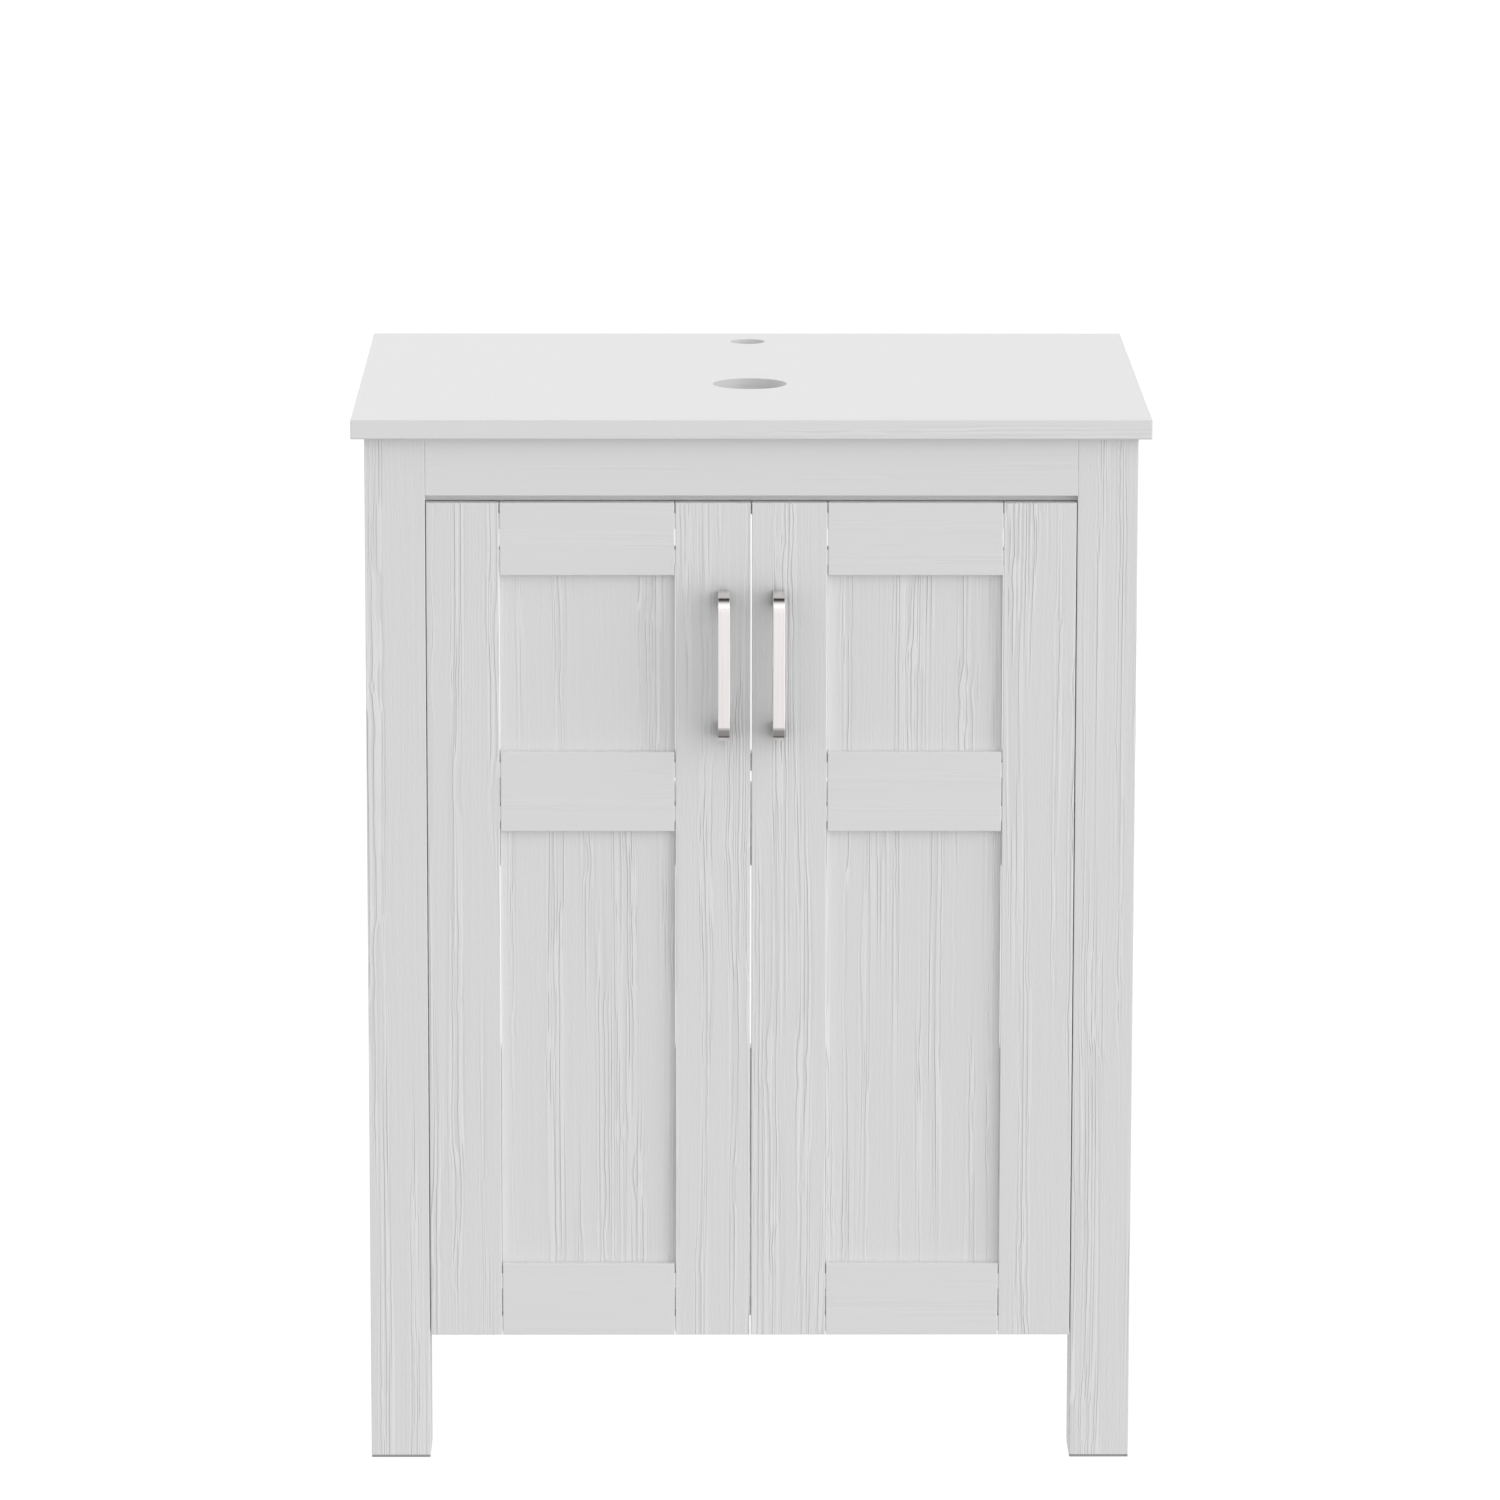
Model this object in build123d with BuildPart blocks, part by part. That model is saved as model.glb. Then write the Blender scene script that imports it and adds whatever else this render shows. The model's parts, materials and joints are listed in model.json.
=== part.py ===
from build123d import *
from collections import namedtuple
import os

# Bathroom vanity cabinet: four square posts, boards between them, a flat top for a
# vessel basin and two framed doors on concealed hinges. Millimetres, +Z up, front
# faces -Y, origin under the middle of the whole outline, on the floor.

# Overall size
top_width = 610.0
top_depth = 475.0
top_thickness = 15.0
total_height = 819.0
side_overhang = 10.0
front_overhang = 10.0
top_edge_round = 1.0

# Holes in the top: the drain measured from its front edge, the faucet from its back
drain_radius = 29.0
drain_setback = 191.0
faucet_radius = 14.0
faucet_from_back = 48.0

# Posts and feet
leg_size = 46.0
leg_edge_round = 0.7
foot_thickness = 2.0
foot_inset = 0.2
foot_nail_radius = 2.5
foot_nail_length = 14.0

# Boards
board_thickness = 15.0
side_recess = 8.0
floor_clearance = 98.5
bottom_board_lift = 7.5
board_setback = 31.0
fascia_height = 45.0
fascia_thickness = 18.0
fascia_lip_setback = 10.0
fascia_lip_clearance = 0.7
stretcher_drop = 4.0
stretcher_depth = 70.0
rear_top_rail_height = 90.0
rear_bottom_rail_height = 102.0
wall_hole_radius = 3.0
wall_hole_spacing = 400.0

# Shelf with a cut-out for pipes, and its pins
shelf_height = 480.0
shelf_end_clearance = 1.0
shelf_back_gap = 40.0
shelf_rear_strip = 14.0
pipe_cutout_width = 200.0
pipe_cutout_depth = 121.0
pin_peg_radius = 2.5
pin_peg_length = 8.0
pin_tongue_length = 10.0
pin_tongue_width = 8.0
pin_tongue_height = 5.0
pin_inset = 60.0

# Doors
door_thickness = 18.0
door_top_gap = 5.5
leg_gap = 0.7
meeting_gap = 1.0
joint_gap = 0.7
undercut_start = 4.0
undercut = 1.2
shoulder_height = 12.0
edge_round = 0.7
hinge_stile_width = 55.4
meeting_stile_width = 57.5
top_rail_height = 56.0
upper_opening = 137.5
middle_rail_height = 62.0
bottom_rail_height = 57.0
panel_thickness = 6.0
panel_recess = 6.0
groove_depth = 8.0
panel_edge_gap = 0.35
panel_side_clearance = 0.1
panel_end_clearance = 0.5

# Handles
handle_reach = 28.0
handle_width = 9.2
handle_length = 114.3
handle_bar_thickness = 8.0
handle_hole_spacing = 101.6
handle_corner = 12.4
handle_inner_corner = 4.5
handle_edge_round = 0.4
handle_from_centre = 21.0
handle_below_door_top = 124.4

# Hinges, in plan: inboard from the door's outer edge, then back from its front face
hinge_inset = 100.0
pivot_inboard = 21.0
pivot_back = 5.5
pivot_radius = 1.1
running_clearance = 0.05
cup_radius = 17.5
cup_inboard = 24.0
cup_depth = 15.3
cup_wall = 0.8
flange_radius = 18.5
flange_thickness = 1.0
wing_width = 16.0
wing_height = 62.0
ear_width = 6.0
ear_thickness = 3.0
ear_rise = 3.0
cup_screw_spacing = 48.0
cup_screw_inboard = 6.0
arm_thickness = 2.5
arm_height = 12.0
arm_reach = 17.0
arm_bend = 3.0
arm_side_clearance = 0.4
eye_radius = 1.8
plate_thickness = 3.0
plate_height = 46.0
plate_screw_spacing = 32.0

# Magnetic catches under the stretcher, strikes on the doors
catch_from_centre = 38.0
catch_width = 40.0
catch_depth = 24.0
catch_height = 14.0
catch_gap = 0.4
catch_screw_spacing = 28.0
magnet_width = 16.0
magnet_depth = 8.0
magnet_height = 9.0
strike_width = 24.0
strike_height = 10.0
strike_thickness = 1.5

# Angle brackets between the side boards and the top
bracket_leg = 25.0
bracket_width = 20.0
bracket_thickness = 2.0
bracket_inset = 90.0

# Dowels
dowel_radius = 4.0
dowel_length = 30.0
short_dowel_length = 20.0
dowel_clearance = 0.05
dowel_end_clearance = 1.0
side_dowel_inset = 60.0
rail_dowel_inset = 14.0
low_dowel_inset = 9.0
bottom_dowel_inset = 50.0

# Screws
Screw = namedtuple("Screw", "shank head head_height length countersunk")
screw_clearance = 0.05
head_taper = 0.8
cross_width = 1.0
cross_margin = 1.4
cross_depth = 1.0
plate_screw = Screw(shank=1.75, head=3.5, head_height=2.0, length=16.0, countersunk=True)
arm_screw = Screw(shank=2.0, head=3.8, head_height=2.0, length=5.0, countersunk=False)
cup_screw = Screw(shank=1.75, head=3.5, head_height=1.8, length=14.0, countersunk=False)
strike_screw = Screw(shank=1.25, head=2.5, head_height=1.2, length=12.0, countersunk=True)
catch_screw = Screw(shank=1.5, head=3.0, head_height=1.6, length=26.0, countersunk=False)
bracket_screw = Screw(shank=1.75, head=3.5, head_height=1.8, length=13.0, countersunk=False)
handle_grip = 8.0
handle_screw = Screw(
    shank=2.0, head=4.0, head_height=2.4, length=door_thickness + handle_grip, countersunk=False
)

# Places worked out from the sizes
body_width = top_width - 2 * side_overhang
body_depth = top_depth - front_overhang
front_reach = max(handle_reach, front_overhang)
front_y = -(body_depth - front_reach) / 2
back_y = front_y + body_depth
top_front_y = front_y - front_overhang
top_mid_y = top_front_y + top_depth / 2
top_underside = total_height - top_thickness

leg_outer = body_width / 2
leg_inner = leg_outer - leg_size
leg_mid_x = leg_outer - leg_size / 2
front_leg_back = front_y + leg_size
rear_leg_front = back_y - leg_size
body_mid_y = (front_y + back_y) / 2

side_outer = leg_outer - side_recess
side_inner = side_outer - board_thickness
side_mid_x = side_outer - board_thickness / 2
side_height = top_underside - floor_clearance
side_mid_z = floor_clearance + side_height / 2

board_front = front_y + board_setback
bottom_z = floor_clearance + bottom_board_lift
bottom_top = bottom_z + board_thickness
fascia_bottom = top_underside - fascia_height
fascia_mid_z = fascia_bottom + fascia_height / 2
fascia_lip_height = door_top_gap - fascia_lip_clearance
stretcher_z = fascia_bottom - stretcher_drop - board_thickness
rear_rail_mid_y = back_y - board_thickness / 2
rear_top_mid_z = top_underside - rear_top_rail_height / 2
rear_bottom_mid_z = bottom_top + rear_bottom_rail_height / 2
shelf_z = shelf_height - board_thickness
shelf_back = back_y - shelf_back_gap
pipe_cutout_back = shelf_back - shelf_rear_strip
pipe_cutout_mid = pipe_cutout_back - pipe_cutout_depth / 2

door_top = fascia_bottom - door_top_gap
door_bottom = floor_clearance
door_height = door_top - door_bottom
door_mid_z = door_bottom + door_height / 2
door_mid_y = front_y + door_thickness / 2
door_back = front_y + door_thickness
door_outer = leg_inner - leg_gap
door_inner = meeting_gap / 2
hinge_stile_inner = door_outer - hinge_stile_width
meeting_stile_outer = door_inner + meeting_stile_width
infill_width = hinge_stile_inner - meeting_stile_outer - 2 * joint_gap
infill_mid_x = (hinge_stile_inner + meeting_stile_outer) / 2
panel_width = infill_width + 2 * (joint_gap - panel_edge_gap)
middle_rail_top = door_top - top_rail_height - upper_opening
middle_rail_bottom = middle_rail_top - middle_rail_height
bottom_rail_top = door_bottom + bottom_rail_height
handle_mid_z = door_top - handle_below_door_top

hinge_heights = [door_bottom + hinge_inset, door_top - hinge_inset]
knee_inboard = pivot_inboard + arm_reach
plate_face = plate_thickness - leg_gap
plate_back = leg_size
strip_back = board_setback + arm_thickness / 2
flange_back = door_back + flange_thickness
cup_floor_back = door_thickness - cup_depth + cup_wall
ear_inside = arm_height / 2 + arm_side_clearance
ear_outside = ear_inside + ear_thickness

front_plane = Plane.XZ.offset(-front_y)
door_back_plane = Plane.XZ.offset(-door_back)
below = (Align.CENTER, Align.CENTER, Align.MAX)
above = (Align.CENTER, Align.CENTER, Align.MIN)
sides = {"left": -1, "right": 1}


def save(name, piece):
    """Label a finished piece and write it under the same name."""
    piece.part.label = name
    export_step(piece.part, f"parts/{name}.step")


def peg(plane, points, radius, reach, mode=Mode.ADD):
    """Round bars, or holes, that reach equally far to both sides of a joint's plane."""
    with BuildSketch(plane) as ends:
        with Locations(*points):
            Circle(radius)
    extrude(ends.sketch, amount=reach, both=True, mode=mode)


def dowel_holes(plane, points, length=dowel_length):
    """Holes for dowels that are centred on a joint's plane."""
    reach = length / 2 + dowel_end_clearance
    peg(plane, points, dowel_radius + dowel_clearance, reach, Mode.SUBTRACT)


def dowels(plane, points, length=dowel_length):
    """The dowels that those holes hold."""
    peg(plane, points, dowel_radius, length / 2)


def screw_shape(plane, screw, clearance=0.0, mode=Mode.ADD):
    """One screw's outside: its head is at the plane, and its shank runs against the plane's normal."""
    head = screw.head + clearance
    shank = screw.shank + clearance
    with Locations(plane):
        if screw.countersunk:
            Cone(shank, head, screw.head_height, align=below, mode=mode)
        else:
            Cone(head, head - head_taper, screw.head_height, align=above, mode=mode)
        Cylinder(shank, screw.length + clearance, align=below, mode=mode)


def screw_hole(plane, screw):
    """The room that a screw takes in the pieces it passes through."""
    screw_shape(plane, screw, screw_clearance, Mode.SUBTRACT)


def fastener(plane, screw):
    """One screw, with a cross cut into its head for the driver."""
    screw_shape(plane, screw)
    rise = 0 if screw.countersunk else screw.head_height
    span = 2 * (screw.head - cross_margin)
    with Locations(plane.offset(rise)):
        Box(span, cross_width, cross_depth, align=below, mode=Mode.SUBTRACT)
        Box(cross_width, span, cross_depth, align=below, mode=Mode.SUBTRACT)


def ease_front(builder, radius=edge_round):
    """Round the four edges of a board's front face."""
    fillet(builder.faces().sort_by(Axis.Y)[0].edges(), radius)


def undercut_side(x, inward):
    """Cut back the side of a door's frame piece behind its face, so that a joint closes at the face."""
    with BuildSketch(Plane.XY.offset(door_bottom)) as wedge:
        with BuildLine():
            Polyline(
                (x, front_y + undercut_start),
                (x, door_back),
                (x + inward * undercut, door_back),
                close=True,
            )
        make_face()
    extrude(wedge.sketch, amount=door_height, mode=Mode.SUBTRACT)


def cross_plane(x):
    """Plane across the cabinet, where a rail's end meets a post or a side board."""
    return Plane.YZ.offset(x)


def depth_plane(y):
    """Plane along the cabinet's front, where a side board's edge meets a post."""
    return Plane.XZ.offset(-y)


def facing_back(x, y, z):
    """Plane for a screw that is driven forwards, from behind."""
    return Plane(origin=(x, y, z), x_dir=(1, 0, 0), z_dir=(0, 1, 0))


def facing_inboard(sign, x, y, z):
    """Plane for a screw that is driven outwards, from inside the cabinet."""
    return Plane(origin=(sign * x, y, z), x_dir=(0, 1, 0), z_dir=(-sign, 0, 0))


def facing_down(x, y, z):
    """Plane for a screw that is driven upwards, from below."""
    return Plane(origin=(x, y, z), x_dir=(1, 0, 0), z_dir=(0, 0, -1))


def hinge_plan(sign, height):
    """Plan of one hinge: x runs inboard from the door's outer edge, y back from its face."""
    return Plane(origin=(sign * door_outer, front_y, height), x_dir=(-sign, 0, 0), z_dir=(0, 0, -sign))


# Places of the joints and fasteners
side_dowel_heights = [
    floor_clearance + side_dowel_inset,
    side_mid_z,
    top_underside - side_dowel_inset,
]
fascia_dowels = [
    (front_y + fascia_thickness / 2, fascia_bottom + rail_dowel_inset),
    (front_y + fascia_thickness / 2, top_underside - rail_dowel_inset),
]
stretcher_dowels = [((board_front + front_leg_back) / 2, stretcher_z + board_thickness / 2)]
rear_top_dowels = [
    (rear_rail_mid_y, top_underside - rear_top_rail_height + rail_dowel_inset),
    (rear_rail_mid_y, top_underside - rail_dowel_inset),
]
rear_bottom_dowels = [
    (rear_rail_mid_y, bottom_top + rail_dowel_inset),
    (rear_rail_mid_y, bottom_top + rear_bottom_rail_height - rail_dowel_inset),
]
bottom_board_dowels = [
    (front_leg_back + bottom_dowel_inset, bottom_z + board_thickness / 2),
    (rear_leg_front - bottom_dowel_inset, bottom_z + board_thickness / 2),
]
post_dowels = {
    "front": fascia_dowels + stretcher_dowels,
    "rear": rear_top_dowels + rear_bottom_dowels,
}
post_mid_y = {"front": front_y + leg_size / 2, "rear": back_y - leg_size / 2}
post_joint_y = {"front": front_leg_back, "rear": rear_leg_front}
shelf_pin_places = [
    (front_leg_back + pin_inset, shelf_z - pin_tongue_height / 2),
    (rear_leg_front - pin_inset, shelf_z - pin_tongue_height / 2),
]
bracket_places = [front_leg_back + bracket_inset, rear_leg_front - bracket_inset]
rail_bands = {
    "top": (door_top - top_rail_height, door_top),
    "middle": (middle_rail_bottom, middle_rail_top),
    "bottom": (door_bottom, bottom_rail_top),
}
panel_bands = {
    "upper": (middle_rail_top, door_top - top_rail_height),
    "lower": (bottom_rail_top, middle_rail_bottom),
}
low_insets = {"top": rail_dowel_inset, "middle": rail_dowel_inset, "bottom": low_dowel_inset}
rail_dowel_heights = {
    name: (low + low_insets[name], high - rail_dowel_inset) for name, (low, high) in rail_bands.items()
}
rail_dowels = [(door_mid_y, z) for heights in rail_dowel_heights.values() for z in heights]
plate_screw_back = (board_setback + plate_back) / 2
plate_screw_heights = [
    height + offset
    for height in hinge_heights
    for offset in (-plate_screw_spacing / 2, plate_screw_spacing / 2)
]
cup_screw_heights = [
    height + offset
    for height in hinge_heights
    for offset in (-cup_screw_spacing / 2, cup_screw_spacing / 2)
]
catch_front = door_back + strike_thickness + catch_gap
catch_mid_y = catch_front + catch_depth / 2
catch_mid_z = stretcher_z - catch_height / 2
catch_screw_y = (board_front + catch_front + catch_depth) / 2
catch_screw_offsets = (-catch_screw_spacing / 2, catch_screw_spacing / 2)
handle_screw_heights = [
    handle_mid_z - handle_hole_spacing / 2,
    handle_mid_z + handle_hole_spacing / 2,
]


def side_joint_points(sign):
    """Dowels between a side board and its posts, as x and z."""
    return [(sign * side_mid_x, z) for z in side_dowel_heights]


def plate_screw_planes(sign):
    """Where the screws of one side's hinge plates enter."""
    y = front_y + plate_screw_back
    x = leg_inner - plate_thickness
    return [facing_inboard(sign, x, y, z) for z in plate_screw_heights]


def arm_screw_planes(sign):
    """Where the screws that hold one side's hinge arms to their plates enter."""
    x = leg_inner - plate_thickness - arm_thickness
    return [facing_inboard(sign, x, front_y + plate_screw_back, z) for z in hinge_heights]


def cup_screw_planes(sign):
    """Where the screws of one door's hinge cups enter."""
    x = sign * (door_outer - cup_inboard - cup_screw_inboard)
    return [facing_back(x, flange_back, z) for z in cup_screw_heights]


def catch_screw_planes(sign):
    """Where the screws of one catch enter, from below."""
    x = sign * catch_from_centre
    z = stretcher_z - catch_height
    return [facing_down(x + offset, catch_screw_y, z) for offset in catch_screw_offsets]


def bracket_screw_planes(sign):
    """Where the screws of one side's brackets enter: one sideways and one upwards each."""
    reach = (bracket_leg + bracket_thickness) / 2
    face_x = side_inner - bracket_thickness
    face_z = top_underside - bracket_thickness
    planes = []
    for y in bracket_places:
        planes.append(facing_inboard(sign, face_x, y, top_underside - reach))
        planes.append(facing_down(sign * (side_inner - reach), y, face_z))
    return planes


def strike_screw_plane(sign):
    """Where the screw of one door's strike plate enters."""
    return facing_back(sign * catch_from_centre, door_back + strike_thickness, catch_mid_z)


def handle_screw_planes(sign):
    """Where the screws of one handle enter, on the back of the door."""
    return [facing_back(sign * handle_from_centre, door_back, z) for z in handle_screw_heights]


os.makedirs("parts", exist_ok=True)

# Top with its drain hole and faucet hole
with BuildPart() as countertop:
    with BuildSketch(Plane.XY.offset(top_underside)):
        with Locations((0, top_mid_y)):
            Rectangle(top_width, top_depth)
        with Locations((0, top_front_y + drain_setback)):
            Circle(drain_radius, mode=Mode.SUBTRACT)
        with Locations((0, back_y - faucet_from_back)):
            Circle(faucet_radius, mode=Mode.SUBTRACT)
    extrude(amount=top_thickness)
    rim = countertop.edges().filter_by(GeomType.LINE)
    fillet(rim, top_edge_round)
    for sign in sides.values():
        for plane in bracket_screw_planes(sign):
            screw_hole(plane, bracket_screw)
save("countertop", countertop)

# Posts, each on a thin foot pad that is nailed into its end
for end in post_mid_y:
    for side, sign in sides.items():
        foot_plane = Plane.XY.offset(foot_thickness)
        foot_place = (sign * leg_mid_x, post_mid_y[end])
        with BuildPart() as leg:
            with BuildSketch(foot_plane):
                with Locations(foot_place):
                    Rectangle(leg_size, leg_size)
            extrude(amount=top_underside - foot_thickness)
            fillet(leg.edges().filter_by(Axis.Z), leg_edge_round)
            dowel_holes(depth_plane(post_joint_y[end]), side_joint_points(sign))
            dowel_holes(cross_plane(sign * leg_inner), post_dowels[end])
            peg(
                foot_plane,
                [foot_place],
                foot_nail_radius + dowel_clearance,
                foot_nail_length + dowel_end_clearance,
                Mode.SUBTRACT,
            )
            if end == "front":
                for plane in plate_screw_planes(sign):
                    screw_hole(plane, plate_screw)
        save(f"{end}_{side}_leg", leg)

        with BuildPart() as foot:
            with BuildSketch(Plane.XY):
                with Locations(foot_place):
                    Rectangle(leg_size - 2 * foot_inset, leg_size - 2 * foot_inset)
            extrude(amount=foot_thickness)
            fillet(foot.edges().filter_by(Axis.Z), leg_edge_round)
            with BuildSketch(foot_plane):
                with Locations(foot_place):
                    Circle(foot_nail_radius)
            extrude(amount=foot_nail_length)
        save(f"{end}_{side}_foot_pad", foot)

# Side boards, set back from the faces of the posts
for side, sign in sides.items():
    with BuildPart() as side_board:
        with BuildSketch(cross_plane(sign * side_mid_x)):
            with Locations((body_mid_y, side_mid_z)):
                Rectangle(rear_leg_front - front_leg_back, side_height)
        extrude(amount=board_thickness / 2, both=True)
        for y in post_joint_y.values():
            dowel_holes(depth_plane(y), side_joint_points(sign))
        dowel_holes(cross_plane(sign * side_inner), bottom_board_dowels, short_dowel_length)
        peg(
            cross_plane(sign * side_inner),
            shelf_pin_places,
            pin_peg_radius + dowel_clearance,
            pin_peg_length + dowel_end_clearance,
            Mode.SUBTRACT,
        )
        for plane in bracket_screw_planes(sign):
            screw_hole(plane, bracket_screw)
    save(f"{side}_side_panel", side_board)

# Fascia rail over the doors, with a set-back lip that closes the gap above them
with BuildPart() as fascia:
    with BuildSketch(front_plane):
        with Locations((0, fascia_mid_z)):
            Rectangle(2 * leg_inner, fascia_height)
    extrude(amount=-fascia_thickness)
    ease_front(fascia)
    with BuildSketch(depth_plane(front_y + fascia_lip_setback)):
        with Locations((0, fascia_bottom - fascia_lip_height / 2)):
            Rectangle(2 * leg_inner, fascia_lip_height)
    extrude(amount=fascia_lip_setback - fascia_thickness)
    for sign in sides.values():
        dowel_holes(cross_plane(sign * leg_inner), fascia_dowels)
save("front_top_rail", fascia)

# Flat stretcher behind the tops of the doors, which carries the catches
with BuildPart() as stretcher:
    with BuildSketch(Plane.XY.offset(stretcher_z)):
        with Locations((0, board_front + stretcher_depth / 2)):
            Rectangle(2 * leg_inner, stretcher_depth)
    extrude(amount=board_thickness)
    for sign in sides.values():
        dowel_holes(cross_plane(sign * leg_inner), stretcher_dowels)
        for plane in catch_screw_planes(sign):
            screw_hole(plane, catch_screw)
save("front_stretcher", stretcher)

# Rear rails: the upper one is fixed to the wall, the lower one closes the back's foot
with BuildPart() as rear_top_rail:
    with BuildSketch(depth_plane(back_y)):
        with Locations((0, rear_top_mid_z)):
            Rectangle(2 * leg_inner, rear_top_rail_height)
            with GridLocations(wall_hole_spacing, 0, 2, 1):
                Circle(wall_hole_radius, mode=Mode.SUBTRACT)
    extrude(amount=board_thickness)
    for sign in sides.values():
        dowel_holes(cross_plane(sign * leg_inner), rear_top_dowels)
save("rear_top_rail", rear_top_rail)

with BuildPart() as rear_bottom_rail:
    with BuildSketch(depth_plane(back_y)):
        with Locations((0, rear_bottom_mid_z)):
            Rectangle(2 * leg_inner, rear_bottom_rail_height)
    extrude(amount=board_thickness)
    for sign in sides.values():
        dowel_holes(cross_plane(sign * leg_inner), rear_bottom_dowels)
save("rear_bottom_rail", rear_bottom_rail)

# Bottom board, notched round the posts
with BuildPart() as bottom_board:
    with BuildSketch(Plane.XY.offset(bottom_z)):
        with Locations((0, (board_front + back_y) / 2)):
            Rectangle(2 * side_inner, back_y - board_front)
        corners = [(sign * leg_mid_x, y) for sign in sides.values() for y in post_mid_y.values()]
        with Locations(*corners):
            Rectangle(leg_size, leg_size, mode=Mode.SUBTRACT)
    extrude(amount=board_thickness)
    for sign in sides.values():
        dowel_holes(cross_plane(sign * side_inner), bottom_board_dowels, short_dowel_length)
save("bottom_panel", bottom_board)

# Shelf, notched round the posts and cut out for the pipes
with BuildPart() as shelf:
    with BuildSketch(Plane.XY.offset(shelf_z)):
        with Locations((0, (board_front + shelf_back) / 2)):
            Rectangle(2 * (side_inner - shelf_end_clearance), shelf_back - board_front)
        with Locations(*corners):
            notch = leg_size + 2 * shelf_end_clearance
            Rectangle(notch, notch, mode=Mode.SUBTRACT)
        with Locations((0, pipe_cutout_mid)):
            Rectangle(pipe_cutout_width, pipe_cutout_depth, mode=Mode.SUBTRACT)
    extrude(amount=board_thickness)
save("shelf", shelf)

# Shelf pins: a peg in the side board and a flat tongue under the shelf
with BuildPart() as shelf_pins:
    for sign in sides.values():
        with BuildSketch(cross_plane(sign * side_inner)) as tongues:
            with Locations(*shelf_pin_places):
                Rectangle(pin_tongue_width, pin_tongue_height)
        extrude(amount=-sign * pin_tongue_length)
        with BuildSketch(cross_plane(sign * side_inner)) as pegs:
            with Locations(*shelf_pin_places):
                Circle(pin_peg_radius)
        extrude(amount=sign * pin_peg_length)
save("shelf_pins", shelf_pins)

# Dowels that join the posts, rails and boards
with BuildPart() as carcass_dowels:
    for sign in sides.values():
        for end in post_mid_y:
            dowels(depth_plane(post_joint_y[end]), side_joint_points(sign))
            dowels(cross_plane(sign * leg_inner), post_dowels[end])
        dowels(cross_plane(sign * side_inner), bottom_board_dowels, short_dowel_length)
save("carcass_dowels", carcass_dowels)

# Angle brackets under the top, with their screws
with BuildPart() as brackets:
    for sign in sides.values():
        for y in bracket_places:
            with BuildSketch(depth_plane(y)):
                with BuildLine():
                    corner = (sign * side_inner, top_underside)
                    inside = (sign * (side_inner - bracket_thickness), top_underside - bracket_thickness)
                    foot_x = sign * (side_inner - bracket_leg)
                    foot_z = top_underside - bracket_leg
                    Polyline(
                        corner,
                        (foot_x, corner[1]),
                        (foot_x, inside[1]),
                        inside,
                        (inside[0], foot_z),
                        (corner[0], foot_z),
                        close=True,
                    )
                make_face()
            extrude(amount=bracket_width / 2, both=True)
        for plane in bracket_screw_planes(sign):
            screw_hole(plane, bracket_screw)
save("top_brackets", brackets)

with BuildPart() as bracket_screws:
    for sign in sides.values():
        for plane in bracket_screw_planes(sign):
            fastener(plane, bracket_screw)
save("bracket_screws", bracket_screws)

# Magnetic catches: housings, magnets and screws
with BuildPart() as catches:
    for sign in sides.values():
        with BuildSketch(Plane.XY.offset(stretcher_z)):
            with Locations((sign * catch_from_centre, catch_mid_y)):
                Rectangle(catch_width, catch_depth)
        extrude(amount=-catch_height)
        with BuildSketch(depth_plane(catch_front)):
            with Locations((sign * catch_from_centre, catch_mid_z)):
                Rectangle(magnet_width, magnet_height)
        extrude(amount=-magnet_depth, mode=Mode.SUBTRACT)
        for plane in catch_screw_planes(sign):
            screw_hole(plane, catch_screw)
save("magnetic_catches", catches)

with BuildPart() as magnets:
    for sign in sides.values():
        with BuildSketch(depth_plane(catch_front)):
            with Locations((sign * catch_from_centre, catch_mid_z)):
                Rectangle(magnet_width, magnet_height)
        extrude(amount=-magnet_depth)
save("catch_magnets", magnets)

with BuildPart() as catch_screws:
    for sign in sides.values():
        for plane in catch_screw_planes(sign):
            fastener(plane, catch_screw)
save("catch_screws", catch_screws)

# Screws of the hinge plates and arms
with BuildPart() as hinge_screws:
    for sign in sides.values():
        for plane in plate_screw_planes(sign):
            fastener(plane, plate_screw)
        for plane in arm_screw_planes(sign):
            fastener(plane, arm_screw)
save("hinge_screws", hinge_screws)

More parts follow.
